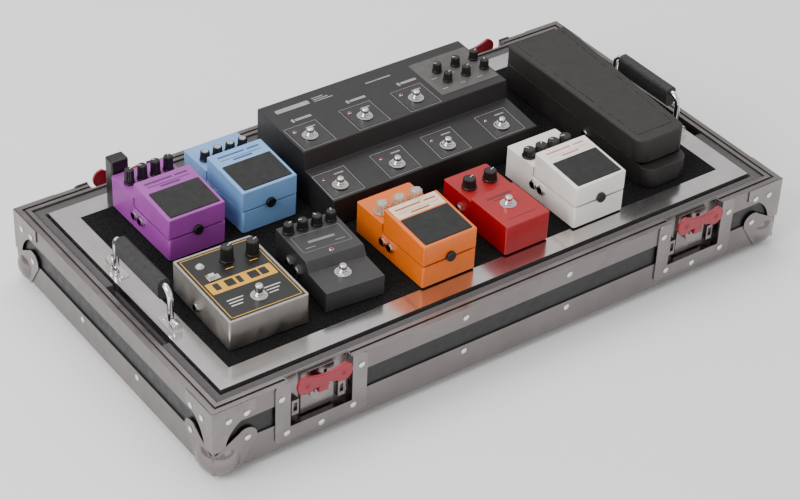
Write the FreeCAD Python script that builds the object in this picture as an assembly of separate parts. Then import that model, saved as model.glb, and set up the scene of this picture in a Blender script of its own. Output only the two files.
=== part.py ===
import FreeCAD, Part
import math
import os

from FreeCAD import Rotation, Vector

# A guitar pedalboard standing in the base half of its flight case: a plywood case with
# aluminium edges, ball corners and four butterfly latches, a lift-out carpeted tray with two
# folding handles, and nine effects pedals fixed to the tray with hook strips.
#
# Everything is laid out in millimetres from the case's front left bottom corner: x along the
# long side, y to the rear, z up. move_to_frame shifts it to the part's own frame, which has its
# origin under the case's centre, on the surface that the ball corners stand on.

# ---- Case
CASE_LENGTH = 796.7
CASE_WIDTH = 430.4
CASE_HEIGHT = 84.6
SHEET = 2.0                      # wall of the aluminium extrusions
RIM_WIDTH = 14.0                 # rim rail across its top
RIM_FACE = 24.1                  # rim rail's outer leg
RIM_LEG = 20.0                   # rim rail's inner leg
RIM_CAP = 4.0                    # rim rail's top, with the groove in it
GROOVE_FROM_FACE = 6.0
GROOVE_WIDTH = 3.0
GROOVE_DEPTH = 2.5
ANGLE_HEIGHT = 34.0              # bottom angle, upright leg
ANGLE_FLOOR = 26.0               # bottom angle, lying leg
PLY_INNER = 11.8                 # inner face of the plywood from the case's face
FLOOR_TOP = 9.0                  # top of the bottom panel
FOAM_INNER = 25.4
FOAM_DROP = 3.0                  # foam's top below the rim
LEDGE_INNER = 70.0               # inner edge of the foam ledge that carries the tray
CUTOUT_CENTRE = CASE_WIDTH / 2 - 27.0
CUTOUT_HALF = 60.0

# ---- Ball corners and corner braces
BALL_INSET = 17.0
BALL_CENTRE_Z = 13.0
BALL_RADIUS = 24.3
BALL_DROP = 11.0                 # the balls' flats below the case's floor
PLATE = 1.6                      # thickness of the plates on the case's faces
LOBE_ALONG = 40.6
LOBE_UP = 36.0
LOBE_RADIUS = 13.0
BRACE_REACH = 52.0
RIVET_RADIUS = 3.8
RIVET_HEIGHT = 1.9
RIVET_RIM = 0.7                  # straight edge of a rivet head below its dome

# ---- Latches
LATCH_FROM_END = 134.5
DISH_WIDTH = 117.0
DISH_BOTTOM = 8.0
DISH_TOP = 86.0
POCKET_WIDTH = 82.0
POCKET_BOTTOM = 24.0
POCKET_DEPTH = 12.0
HUB_Z = 57.0
HUB_RADIUS = 13.0
HINGE_RISE = 3.0                 # wing's hinge above the hub's axis
WING_HALF = 35.0
WING_LOBE = 12.0
WING_RISE = 20.0                 # wing's middle line above the hub's axis
WING_THICK = 3.4
WING_FRONT = 7.2                 # wing's outer face in front of the case's face
# Degrees that each latch is turned out of true, clockwise as seen from the front.
LATCH_TILTS = {("front", "left"): 2.5, ("front", "right"): 3.0, ("rear", "left"): 13.0, ("rear", "right"): -4.0}
PIN_RADIUS = 1.5
RUNNING = 0.05                   # radial clearance of pins and shafts

# ---- Tray
TRAY_X = 28.0
TRAY_Y = 29.0
BORDER = 26.5
BORDER_SHEET = 1.6
BORDER_LIP = 13.0
CARPET = 1.8
DECK = CASE_HEIGHT - BORDER_SHEET + CARPET

# ---- Handles
HANDLE_FROM_END = 40.0
HANDLE_FRONT_POST = 149.0
HANDLE_REAR_POST = 266.0
HANDLE_BAR = 3.5
HANDLE_PIN = 3.0
HANDLE_AXIS_UP = 6.5
HANDLE_TOP = 47.0
GRIP_MARGIN = 11.0
GRIP_HEIGHT = 26.0
GRIP_THICK = 15.0

# ---- Pedals: heights are above the carpet
STRIP = 2.0                      # hook strip under each pedal
PLATE_TOP = 3.5                  # top of each pedal's base plate
WALL = 2.4
GAP = 0.3
COMPACT_WIDTH = 73.0
COMPACT_LENGTH = 129.0
COMPACT_FRONT = 29.0             # body under the treadle
COMPACT_REAR = 42.0              # knob deck
TREADLE_LENGTH = 77.5
TREADLE_BOTTOM = 31.8
TREADLE_FRONT = 56.5
TREADLE_BACK = 62.5
TREADLE_HINGE_Y = 70.0
TREADLE_HINGE_Z = 36.0
SCREW_Z = 33.0                    # thumb screw's axis, just above the treadle's seam
SCREW_SHANK = 2.2
PAD_SIDE = 4.5                    # rubber pad on the treadle: margin at the sides, front and back
PAD_FRONT = 3.5
PAD_BACK = 51.0
PAD_SEAT = 0.8
SPINDLE = 3.0
BUSHING = 6.0
PLUNGER = 4.6

# name: (front left corner x, y, knob radius, knob height, knob stations across, knob station along)
COMPACT_PEDALS = {
    "purple": (96.2, 245.6, 6.6, 19.0, (11.0, 28.0, 45.0, 62.0), 106.0),
    "blue": (192.8, 246.8, 6.6, 12.5, (11.0, 28.0, 45.0, 62.0), 99.0),
    "orange": (304.0, 54.0, 9.0, 13.0, (13.0, 36.5, 60.0), 98.0),
    "white": (517.3, 51.9, 8.7, 11.0, (9.5, 27.5, 45.5, 63.5), 99.0),
}
SINGLE_KNOB_PEDALS = ("orange",)

ECHO_PLACE = (68.3, 75.2, -2.0)
ECHO_SIZE = (98.5, 125.0, 40.0)
GREY_PLACE = (191.0, 75.7, -5.0)
GREY_SIZE = (73.0, 117.0, 38.5)
GREY_FRONT_DECK = 27.0
GREY_STEP = 46.0
RED_PLACE = (419.0, 53.0, 0.0)
RED_SIZE = (62.0, 120.0, 40.0)
RED_REAR_DECK = 36.0
RED_STEP = 69.0
MULTI_PLACE = (287.0, 203.0)
MULTI_SIZE = (294.0, 162.0)
MULTI_FRONT = 37.0
MULTI_LOW_BACK = 44.0
MULTI_STEP = 59.0
MULTI_HIGH_FRONT = 68.0
MULTI_BACK = 73.0
MULTI_LOW_SWITCHES = (22.0, 102.0, 175.0, 255.0)
MULTI_HIGH_SWITCHES = (24.0, 101.0, 175.0)
MULTI_LOW_Y = 20.0
MULTI_HIGH_Y = 86.0
MULTI_KNOBS = tuple((x, y) for x in (230.0, 257.5, 285.0) for y in (97.0, 119.0))

WAH_FRONT = (637.0, 707.0)       # left and right at the front
WAH_BACK = (635.0, 726.0)
WAH_Y = (66.0, 335.0)
WAH_WALL = 3.0
WAH_SET_IN = 3.2                 # base's sides set in from the treadle's
WAH_TREAD_FROM_FRONT = 13.5      # base deck in front of the treadle
WAH_ROUND = 15.0                 # upright corners at the front
WAH_BASE_FRONT = 26.0
WAH_BASE_BACK = 36.0
WAH_SKIRT_GAP = 4.0
WAH_TOP_FRONT = 60.5
WAH_TOP_BACK = 65.0
WAH_PIVOT_Y = 205.0
WAH_PIVOT_Z = 40.0

ADAPTER = (99.0, 376.5, 22.0, 17.0, 58.0)


# ---- Small helpers

nodes = {}


def move_to_frame(shape):
    moved = shape.copy()
    moved.translate(Vector(-CASE_LENGTH / 2, -CASE_WIDTH / 2, BALL_DROP))
    return moved


def add(name, *shapes):
    nodes.setdefault(name, []).extend(shapes)


def box(x0, y0, z0, x1, y1, z1):
    return Part.makeBox(x1 - x0, y1 - y0, z1 - z0, Vector(x0, y0, z0))


def rod(radius, start, end):
    run = Vector(*end) - Vector(*start)
    return Part.makeCylinder(radius, run.Length, Vector(*start), run)


def soft_box(x0, y0, z0, x1, y1, z1, upright, top=0.0):
    """A box with rounded upright edges, and rounded top edges if top is given."""
    body = box(x0, y0, z0, x1, y1, z1)
    standing = [e for e in body.Edges if abs(e.Vertexes[0].Z - e.Vertexes[1].Z) > 1e-6]
    body = body.makeFillet(upright, standing)
    if top:
        lid = [e for e in body.Edges if all(abs(v.Z - z1) < 1e-6 for v in e.Vertexes)]
        body = body.makeFillet(top, lid)
    return body


def prism(points, direction):
    """A flat outline, given as points in order, pushed along a vector."""
    outline = Part.makePolygon([Vector(*p) for p in points] + [Vector(*points[0])])
    return Part.Face(outline).extrude(Vector(*direction))


def put(shape, x, y, z, turn=0.0):
    placed = shape.copy()
    placed.rotate(Vector(0, 0, 0), Vector(0, 0, 1), turn)
    placed.translate(Vector(x, y, z))
    return placed


def four_corners(shape):
    """A shape at the front left corner, and its mirror images at the other three."""
    middle = Vector(CASE_LENGTH / 2, CASE_WIDTH / 2, 0)
    right = shape.mirror(middle, Vector(1, 0, 0))
    return [shape, right] + [s.mirror(middle, Vector(0, 1, 0)) for s in (shape, right)]


def front_and_rear(shape):
    middle = Vector(CASE_LENGTH / 2, CASE_WIDTH / 2, 0)
    return [shape, shape.mirror(middle, Vector(0, 1, 0))]


def rivet_front(x, z, standoff):
    """A domed rivet head on a plate that stands out by standoff from the front face."""
    dome = RIVET_HEIGHT - RIVET_RIM
    radius = (RIVET_RADIUS ** 2 + dome ** 2) / (2 * dome)
    ball = Part.makeSphere(radius, Vector(x, -standoff + radius - RIVET_HEIGHT, z))
    return ball.common(rod(RIVET_RADIUS, (x, -standoff, z), (x, -standoff - 9, z)))


def rivet_side(y, z, standoff):
    head = rivet_front(y, z, standoff)
    return head.mirror(Vector(0, 0, 0), Vector(1, -1, 0).normalize())


# ---- The case

def pocket_hole(margin):
    """The space of one latch's pocket at the front left, larger by margin all round."""
    half = POCKET_WIDTH / 2 + margin
    return box(LATCH_FROM_END - half, -20, POCKET_BOTTOM - margin,
               LATCH_FROM_END + half, POCKET_DEPTH, CASE_HEIGHT + 20)


def case_ring(outer, inner, bottom, top):
    """A rectangular ring between two insets from the case's faces."""
    whole = box(outer, outer, bottom, CASE_LENGTH - outer, CASE_WIDTH - outer, top)
    return whole.cut(box(inner, inner, bottom - 1, CASE_LENGTH - inner, CASE_WIDTH - inner, top + 1))


def mitred(ring):
    """Cut a ring into its four sides, meeting on the diagonals of the corners."""
    reach = CASE_WIDTH / 2
    front = [(0, 0, -5), (CASE_LENGTH, 0, -5), (CASE_LENGTH - reach, reach, -5), (reach, reach, -5)]
    left = [(0, 0, -5), (reach, reach, -5), (0, CASE_WIDTH, -5)]
    middle = Vector(CASE_LENGTH / 2, CASE_WIDTH / 2, 0)
    sides = []
    for outline, across in ((front, Vector(0, 1, 0)), (left, Vector(1, 0, 0))):
        side = ring.common(prism(outline, (0, 0, CASE_HEIGHT + 10)))
        sides += [side, side.mirror(middle, across)]
    return sides


def make_case():
    recesses = four_corners(pocket_hole(0.0))
    ply_top = CASE_HEIGHT - RIM_CAP
    panels = case_ring(SHEET, PLY_INNER, SHEET, ply_top)
    panels = panels.fuse(box(PLY_INNER, PLY_INNER, SHEET, CASE_LENGTH - PLY_INNER,
                             CASE_WIDTH - PLY_INNER, FLOOR_TOP)).removeSplitter()
    add("case_panels", panels.cut(recesses))

    rim = case_ring(0, RIM_WIDTH, ply_top, CASE_HEIGHT)
    rim = rim.fuse(case_ring(0, SHEET, CASE_HEIGHT - RIM_FACE, CASE_HEIGHT))
    rim = rim.fuse(case_ring(RIM_WIDTH - SHEET, RIM_WIDTH, CASE_HEIGHT - RIM_LEG, CASE_HEIGHT))
    groove = case_ring(GROOVE_FROM_FACE, GROOVE_FROM_FACE + GROOVE_WIDTH,
                       CASE_HEIGHT - GROOVE_DEPTH, CASE_HEIGHT + 1)
    rim = rim.cut(groove)
    for side in mitred(rim):
        add("rim_rails", *side.cut(recesses).Solids)

    angle = case_ring(0, SHEET, 0, ANGLE_HEIGHT).fuse(case_ring(0, ANGLE_FLOOR, 0, SHEET))
    for side in mitred(angle):
        add("base_angles", *side.cut(recesses).Solids)

    foam = case_ring(PLY_INNER, FOAM_INNER, FLOOR_TOP, CASE_HEIGHT - FOAM_DROP)
    foam = foam.cut(case_ring(PLY_INNER - 1, RIM_WIDTH, CASE_HEIGHT - RIM_LEG, CASE_HEIGHT))
    ledge_top = CASE_HEIGHT - BORDER_LIP - GAP
    foam = foam.fuse(case_ring(FOAM_INNER, LEDGE_INNER, FLOOR_TOP, ledge_top))
    foam = foam.cut(four_corners(pocket_hole(0.0)))
    hand_room = box(RIM_WIDTH, CUTOUT_CENTRE - CUTOUT_HALF, CASE_HEIGHT - 30,
                    FOAM_INNER + 1, CUTOUT_CENTRE + CUTOUT_HALF, CASE_HEIGHT)
    middle = Vector(CASE_LENGTH / 2, CASE_WIDTH / 2, 0)
    foam = foam.cut([hand_room, hand_room.mirror(middle, Vector(1, 0, 0))])
    add("foam_lining", foam.removeSplitter())


# ---- Ball corners, braces and rivets

def lobe(centre, tip, radius_tip, direction):
    """A plate arm from the ball to a rounded tip, lying on one face."""
    run = Vector(*tip) - Vector(*centre)
    across = run.cross(Vector(*direction)).normalize()
    wide = across * (BALL_RADIUS * 0.86)
    narrow = across * radius_tip
    a = Vector(*centre)
    b = Vector(*tip)
    arm = prism([tuple(a + wide), tuple(b + narrow), tuple(b - narrow), tuple(a - wide)], direction)
    end = Part.makeCylinder(radius_tip, Vector(*direction).Length, b, Vector(*direction))
    return arm.fuse(end)


def ball_corner():
    centre = Vector(BALL_INSET, BALL_INSET, BALL_CENTRE_Z)
    ball = Part.makeSphere(BALL_RADIUS, centre)
    front = lobe((BALL_INSET, 0, BALL_CENTRE_Z), (LOBE_ALONG, 0, LOBE_UP), LOBE_RADIUS, (0, -PLATE, 0))
    side = lobe((0, BALL_INSET, BALL_CENTRE_Z), (0, LOBE_ALONG, LOBE_UP), LOBE_RADIUS, (-PLATE, 0, 0))
    under = lobe((BALL_INSET, BALL_INSET, 0), (LOBE_ALONG, LOBE_ALONG, 0), LOBE_RADIUS, (0, 0, -PLATE))
    whole = ball.fuse([front, side, under])
    inside = box(0, 0, 0, 200, 200, 200)
    below = box(-60, -60, -60, 200, 200, -BALL_DROP)
    return whole.cut([inside, below]).removeSplitter()


def corner_brace(ball):
    """A folded plate over the upright edge, with hollowed lower edges."""
    top = CASE_HEIGHT - 0.2
    blank = prism([(-PLATE, 0, top), (BRACE_REACH, 0, top), (BRACE_REACH, 0, top - 23),
                   (9, 0, 31), (-PLATE, 0, 31)], (0, -PLATE, 0))
    hollow = Part.makeCylinder(42, PLATE * 3, Vector(56, -PLATE * 2, 26.5), Vector(0, 1, 0))
    front = blank.cut(hollow)
    side = front.mirror(Vector(0, 0, 0), Vector(1, -1, 0).normalize())
    return front.fuse(side).cut(ball).removeSplitter()


def make_corners():
    ball = ball_corner()
    brace = corner_brace(ball)
    add("ball_corners", *four_corners(ball))
    add("corner_braces", *four_corners(brace))
    for along, up in ((18.8, 67.8), (40.7, 69.7), (LOBE_ALONG + 1, LOBE_UP)):
        add("case_rivets", *four_corners(rivet_front(along, up, PLATE)))
        add("case_rivets", *four_corners(rivet_side(along, up, PLATE)))
    middle_x = CASE_LENGTH / 2
    middle_y = CASE_WIDTH / 2
    for x in (middle_x - 73, middle_x + 73):
        add("case_rivets", *front_and_rear(rivet_front(x, ANGLE_HEIGHT - 8, 0)))
        add("case_rivets", *front_and_rear(rivet_front(x, CASE_HEIGHT - 12, 0)))
    for y in (middle_y - 60, middle_y + 60):
        head = rivet_side(y, ANGLE_HEIGHT - 8, 0)
        add("case_rivets", head, head.mirror(Vector(middle_x, 0, 0), Vector(1, 0, 0)))


# ---- Latches

def make_dish():
    """The recessed dish at the front left, with the fixed hook plates inside it."""
    half = DISH_WIDTH / 2
    inner = POCKET_WIDTH / 2 - 1.5
    left = LATCH_FROM_END - half
    right = LATCH_FROM_END + half
    plate = box(left, -PLATE, DISH_BOTTOM, right, 0, DISH_TOP)
    low = [e for e in plate.Edges if abs(e.Vertexes[0].Y - e.Vertexes[1].Y) > 0.1]
    plate = plate.makeFillet(6, low)
    pocket = box(LATCH_FROM_END - POCKET_WIDTH / 2, 0, POCKET_BOTTOM,
                 LATCH_FROM_END + POCKET_WIDTH / 2, POCKET_DEPTH, CASE_HEIGHT - 0.4)
    hollow = soft_box(LATCH_FROM_END - inner, -5, POCKET_BOTTOM + 1.5, LATCH_FROM_END + inner,
                      POCKET_DEPTH - 1.5, CASE_HEIGHT + 30, 1.0)
    dish = plate.fuse(pocket).cut(hollow).removeSplitter()
    keeper = box(LATCH_FROM_END - 21, POCKET_DEPTH - 4.5, POCKET_BOTTOM + 4,
                 LATCH_FROM_END + 21, POCKET_DEPTH - 1.5, CASE_HEIGHT - 3)
    window = box(LATCH_FROM_END - 12, 0, 66, LATCH_FROM_END + 12, 20, 76)
    cheeks = []
    for side in (-1, 1):
        x = LATCH_FROM_END + side * 29.5
        cheek = box(x - 4.5, 4.6, POCKET_BOTTOM + 9, x + 4.5, POCKET_DEPTH - 1.5, POCKET_BOTTOM + 29)
        slot = box(x - 2.4, 0, POCKET_BOTTOM + 14, x + 2.4, 7.5, POCKET_BOTTOM + 25)
        cheeks.append(cheek.cut(slot))
    hub_bore = rod(7.0 + RUNNING, (LATCH_FROM_END, -5, HUB_Z), (LATCH_FROM_END, 11, HUB_Z))
    return [dish, keeper.cut([window, hub_bore])] + cheeks


def make_hub():
    """Turning hub on the front left: a shaft, a round plate and two ears with the wing's pin."""
    z = HUB_Z
    x = LATCH_FROM_END
    shaft = rod(7.0, (x, 2.0, z), (x, POCKET_DEPTH - 1.9, z))
    disc = rod(HUB_RADIUS, (x, 1.2, z), (x, POCKET_DEPTH - 4.8, z))
    hinge_z = z + HINGE_RISE
    relief = rod(3.3, (x - 6.3, -0.2, hinge_z), (x + 6.3, -0.2, hinge_z))
    above = box(x - 6.3, -5, hinge_z, x + 6.3, 3.1, hinge_z + 30)
    hub = shaft.fuse(disc).cut([relief, above])
    for side in (-1, 1):
        ear_x = x + side * 8.0
        hub = hub.fuse(box(ear_x - 1.5, -2.0, hinge_z - 2.6, ear_x + 1.5, 3.0, hinge_z + 2.6))
    pin = rod(PIN_RADIUS, (x - 9.5, -0.2, hinge_z), (x + 9.5, -0.2, hinge_z))
    return hub.fuse(pin).removeSplitter()


def make_wing():
    """Bow-shaped wing with two dimpled lobes, a notch for the hub and a knuckle on the pin."""
    x = LATCH_FROM_END
    z = HUB_Z
    hinge_z = z + HINGE_RISE
    mid_z = z + WING_RISE
    back = -WING_FRONT + WING_THICK
    reach = WING_HALF - WING_LOBE
    wing = box(x - reach, -WING_FRONT, mid_z - 8.0, x + reach, back, mid_z + 8.5)
    lobes = [(x + side * reach, mid_z - 0.5) for side in (-1, 1)]
    wing = wing.fuse([rod(WING_LOBE, (u, -WING_FRONT, w), (u, back, w)) for u, w in lobes])
    notch = rod(14.0, (x, -9, z + 1), (x, 4, z + 1))
    waist = rod(60.0, (x, -9, mid_z + 66.0), (x, 4, mid_z + 66.0))
    dimples = [Part.makeSphere(6, Vector(u, -WING_FRONT - 4.6, w)) for u, w in lobes]
    wing = wing.cut([notch, waist] + dimples).removeSplitter()
    rims = [e for e in wing.Edges if e.Length > 12 and all(abs(v.Y + WING_FRONT) < 1e-4 for v in e.Vertexes)]
    wing = wing.makeFillet(0.8, rims)
    arm = box(x - 5.9, back - 1.2, hinge_z - 1.0, x + 5.9, 1.0, mid_z)
    knuckle = rod(2.8, (x - 5.9, -0.2, hinge_z), (x + 5.9, -0.2, hinge_z))
    bore = rod(PIN_RADIUS + RUNNING, (x - 9, -0.2, hinge_z), (x + 9, -0.2, hinge_z))
    return wing.fuse([arm, knuckle]).cut(bore).removeSplitter()


def make_latches():
    across = Vector(CASE_LENGTH / 2, 0, 0)
    along = Vector(0, CASE_WIDTH / 2, 0)
    for solid in make_dish():
        add("latch_dishes", *four_corners(solid))
    for dx, z in ((-50.7, 67.4), (50.7, 69.9), (-44, 18.6), (0, 13.5), (41, 18.6)):
        add("case_rivets", *four_corners(rivet_front(LATCH_FROM_END + dx, z, PLATE)))
    for (depth, side), tilt in LATCH_TILTS.items():
        x = LATCH_FROM_END if side == "left" else CASE_LENGTH - LATCH_FROM_END
        for kind, solid in (("hub", make_hub()), ("wing", make_wing())):
            if depth == "rear":
                solid = solid.mirror(along, Vector(0, 1, 0))
            if side == "right":
                solid = solid.mirror(across, Vector(1, 0, 0))
            solid.rotate(Vector(x, 0, HUB_Z), Vector(0, 1, 0), tilt)
            add("latch_%s_%s_%s" % (kind, depth, side), solid)


# ---- Tray and handles

def make_tray():
    x0, y0 = TRAY_X, TRAY_Y
    x1, y1 = CASE_LENGTH - TRAY_X, CASE_WIDTH - TRAY_Y
    top = CASE_HEIGHT
    sheet_bottom = top - BORDER_SHEET
    add("tray_board", box(x0 + BORDER_SHEET, y0 + BORDER_SHEET, top - BORDER_LIP,
                          x1 - BORDER_SHEET, y1 - BORDER_SHEET, sheet_bottom))
    ring = box(x0, y0, sheet_bottom, x1, y1, top)
    ring = ring.cut(box(x0 + BORDER, y0 + BORDER, 0, x1 - BORDER, y1 - BORDER, 200))
    lip = box(x0, y0, top - BORDER_LIP, x1, y1, top)
    lip = lip.cut(box(x0 + BORDER_SHEET, y0 + BORDER_SHEET, 0, x1 - BORDER_SHEET, y1 - BORDER_SHEET, 200))
    border = ring.fuse(lip)
    reach = (y1 - y0) / 2
    front = prism([(x0, y0, 0), (x1, y0, 0), (x1 - reach, y0 + reach, 0), (x0 + reach, y0 + reach, 0)],
                  (0, 0, 200))
    left = prism([(x0, y0, 0), (x0 + reach, y0 + reach, 0), (x0, y1, 0)], (0, 0, 200))
    middle = Vector(CASE_LENGTH / 2, CASE_WIDTH / 2, 0)
    for part, across in ((front, Vector(0, 1, 0)), (left, Vector(1, 0, 0))):
        side = border.common(part)
        add("tray_border", side, side.mirror(middle, across))
    edge = BORDER + 0.3
    add("loop_carpet", box(x0 + edge, y0 + edge, sheet_bottom, x1 - edge, y1 - edge, DECK))


def handle_shapes():
    """Bracket pair, and the bail with its grip, for the left handle."""
    x = HANDLE_FROM_END
    axis_z = CASE_HEIGHT + HANDLE_AXIS_UP
    top_z = CASE_HEIGHT + HANDLE_TOP
    front, rear = HANDLE_FRONT_POST, HANDLE_REAR_POST
    brackets = []
    for post, out in ((front, -1), (rear, 1)):
        plate = soft_box(x - 6.5, post - 18.5, CASE_HEIGHT, x + 6.5, post + 18.5, CASE_HEIGHT + 1.6, 3.0)
        near = post + out * 4.6
        far = post + out * 15.0
        block = box(x - 5.5, min(near, far), CASE_HEIGHT + 1.0, x + 5.5, max(near, far), axis_z)
        barrel = rod(5.5, (x, near, axis_z), (x, far, axis_z))
        bore = rod(HANDLE_PIN + RUNNING, (x, near - out, axis_z), (x, far + out, axis_z))
        screws = [rod(2.6, (x, post - out * s, CASE_HEIGHT + 1.2), (x, post - out * s, CASE_HEIGHT + 2.6))
                  for s in (13.5,)]
        brackets.append(plate.fuse([block, barrel] + screws).cut(bore).removeSplitter())
    bend = 12.0
    foot = 0.5
    path = [Part.makeLine(Vector(x, front, axis_z + foot), Vector(x, front, top_z - bend)),
            Part.Arc(Vector(x, front, top_z - bend),
                     Vector(x, front + bend * (1 - math.sqrt(0.5)), top_z - bend * (1 - math.sqrt(0.5))),
                     Vector(x, front + bend, top_z)).toShape(),
            Part.makeLine(Vector(x, front + bend, top_z), Vector(x, rear - bend, top_z)),
            Part.Arc(Vector(x, rear - bend, top_z),
                     Vector(x, rear - bend * (1 - math.sqrt(0.5)), top_z - bend * (1 - math.sqrt(0.5))),
                     Vector(x, rear, top_z - bend)).toShape(),
            Part.makeLine(Vector(x, rear, top_z - bend), Vector(x, rear, axis_z + foot))]
    section = Part.Wire(Part.makeCircle(HANDLE_BAR, Vector(x, front, axis_z + foot), Vector(0, 0, 1)))
    bail = Part.Wire(path).makePipeShell([section], True, False)
    for post, out in ((front, -1), (rear, 1)):
        bail = bail.fuse(Part.makeSphere(HANDLE_BAR, Vector(x, post, axis_z)))
        bail = bail.fuse(rod(HANDLE_BAR, (x, post, axis_z), (x, post, axis_z + foot + 2)))
        bail = bail.fuse(rod(HANDLE_PIN, (x, post, axis_z), (x, post + out * 15.6, axis_z)))
    grip = box(x - GRIP_THICK / 2, front + GRIP_MARGIN + 2, top_z - GRIP_HEIGHT + 7,
               x + GRIP_THICK / 2, rear - GRIP_MARGIN - 2, top_z + 7)
    grip = grip.makeFillet(6.5, [e for e in grip.Edges if abs(e.Vertexes[0].Y - e.Vertexes[1].Y) > 1])
    grip = grip.cut(bail)
    return brackets, [bail.removeSplitter()] + grip.Solids


def make_handles():
    brackets, bail = handle_shapes()
    middle = Vector(CASE_LENGTH / 2, 0, 0)
    add("handle_brackets", *brackets)
    add("handle_brackets", *[b.mirror(middle, Vector(1, 0, 0)) for b in brackets])
    add("handle_left", *bail)
    add("handle_right", *[s.mirror(middle, Vector(1, 0, 0)) for s in bail])


# ---- Shared pedal pieces, built about each pedal's front left corner at the carpet

def under_plate(width, length, inset=1.0):
    """Base plate with two hook strips under it."""
    plate = box(inset, inset, STRIP, width - inset, length - inset, PLATE_TOP)
    strips = [box(width * a, 8, 0, width * b, length - 8, STRIP) for a, b in ((0.12, 0.42), (0.58, 0.88))]
    return [plate] + strips


def board_on_posts(x0, y0, x1, y1):
    """Circuit board standing on four posts, with a few components."""
    top = PLATE_TOP + 5.0
    board = box(x0, y0, top, x1, y1, top + 1.6)
    for x in (x0 + 4, x1 - 4):
        for y in (y0 + 4, y1 - 4):
            board = board.fuse(rod(2.0, (x, y, PLATE_TOP), (x, y, top + 0.5)))
    mid_x = (x0 + x1) / 2
    mid_y = (y0 + y1) / 2
    board = board.fuse(box(mid_x - 8, mid_y - 4, top + 1, mid_x + 8, mid_y + 4, top + 5))
    for k in (-1, 1):
        board = board.fuse(rod(2.6, (mid_x + k * 14, mid_y, top + 1), (mid_x + k * 14, mid_y, top + 8)))
    return board.removeSplitter()


def knob(x, y, deck, radius, height):
    """Knob with a skirt, a pointer ridge and its spindle."""
    foot = deck + GAP
    skirt = rod(radius, (x, y, foot), (x, y, foot + 2.2))
    cap = rod(radius * 0.86, (x, y, foot), (x, y, foot + height))
    cap = cap.makeChamfer(0.8, [e for e in cap.Edges if abs(e.CenterOfMass.z - foot - height) < 1e-6])
    ridge = box(x - 0.7, y - radius * 0.98, foot + 1, x + 0.7, y, foot + height - 1.2)
    spindle = rod(SPINDLE, (x, y, deck - 8), (x, y, foot + 1))
    return skirt.fuse([cap, ridge, spindle]).removeSplitter()


def spindle_hole(x, y, deck):
    return rod(SPINDLE + RUNNING, (x, y, deck - 12), (x, y, deck + 5))


def jack_left(y, z, wall):
    """Jack bushing with its nut, on a left wall; its socket is open to the left."""
    nut = Part.makeCylinder(6.6, 2.6, Vector(-2.6, y, z), Vector(1, 0, 0))
    hexagon = Part.makePolygon([Vector(-2.6, y + 6.3 * math.cos(math.radians(a)),
                                       z + 6.3 * math.sin(math.radians(a))) for a in range(0, 361, 60)])
    nut = nut.common(Part.Face(hexagon).extrude(Vector(2.6, 0, 0)))
    barrel = rod(4.8, (-4.2, y, z), (14.0, y, z))
    socket = rod(3.2, (-6, y, z), (12.5, y, z))
    return nut.fuse(barrel).cut(socket).removeSplitter(), rod(4.85, (-1, y, z), (wall + 1, y, z))


def switch_bushing(x, y, deck):
    """Threaded bushing, nut and washer of a footswitch."""
    tube = rod(BUSHING, (x, y, deck - 10), (x, y, deck + 5.0))
    washer = rod(9.5, (x, y, deck), (x, y, deck + 0.8))
    hexagon = Part.makePolygon([Vector(x + 8.0 * math.cos(math.radians(a)), y + 8.0 * math.sin(math.radians(a)),
                                       deck + 0.8) for a in range(15, 376, 60)])
    nut = Part.Face(hexagon).extrude(Vector(0, 0, 2.4))
    return tube.fuse([washer, nut]).cut(rod(PLUNGER + RUNNING, (x, y, deck - 20), (x, y, deck + 20)))


def plunger(x, y, deck, reach=11.0):
    """Footswitch button: a round stem with a domed top and a stop below the bushing."""
    stem = rod(PLUNGER, (x, y, deck - 10.5), (x, y, deck + reach))
    rim = [e for e in stem.Edges if abs(e.CenterOfMass.z - deck - reach) < 1e-6]
    stem = stem.makeFillet(2.2, rim)
    stop = rod(5.6, (x, y, deck - 12.5), (x, y, deck - 10.4))
    return stem.fuse(stop).removeSplitter()


def bushing_hole(x, y, deck):
    return rod(BUSHING, (x, y, deck - 15), (x, y, deck + 15))


def place_all(name, shapes, x, y, turn=0.0):
    add(name, *[put(s, x, y, DECK, turn) for s in shapes])


# ---- Compact pedals

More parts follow.
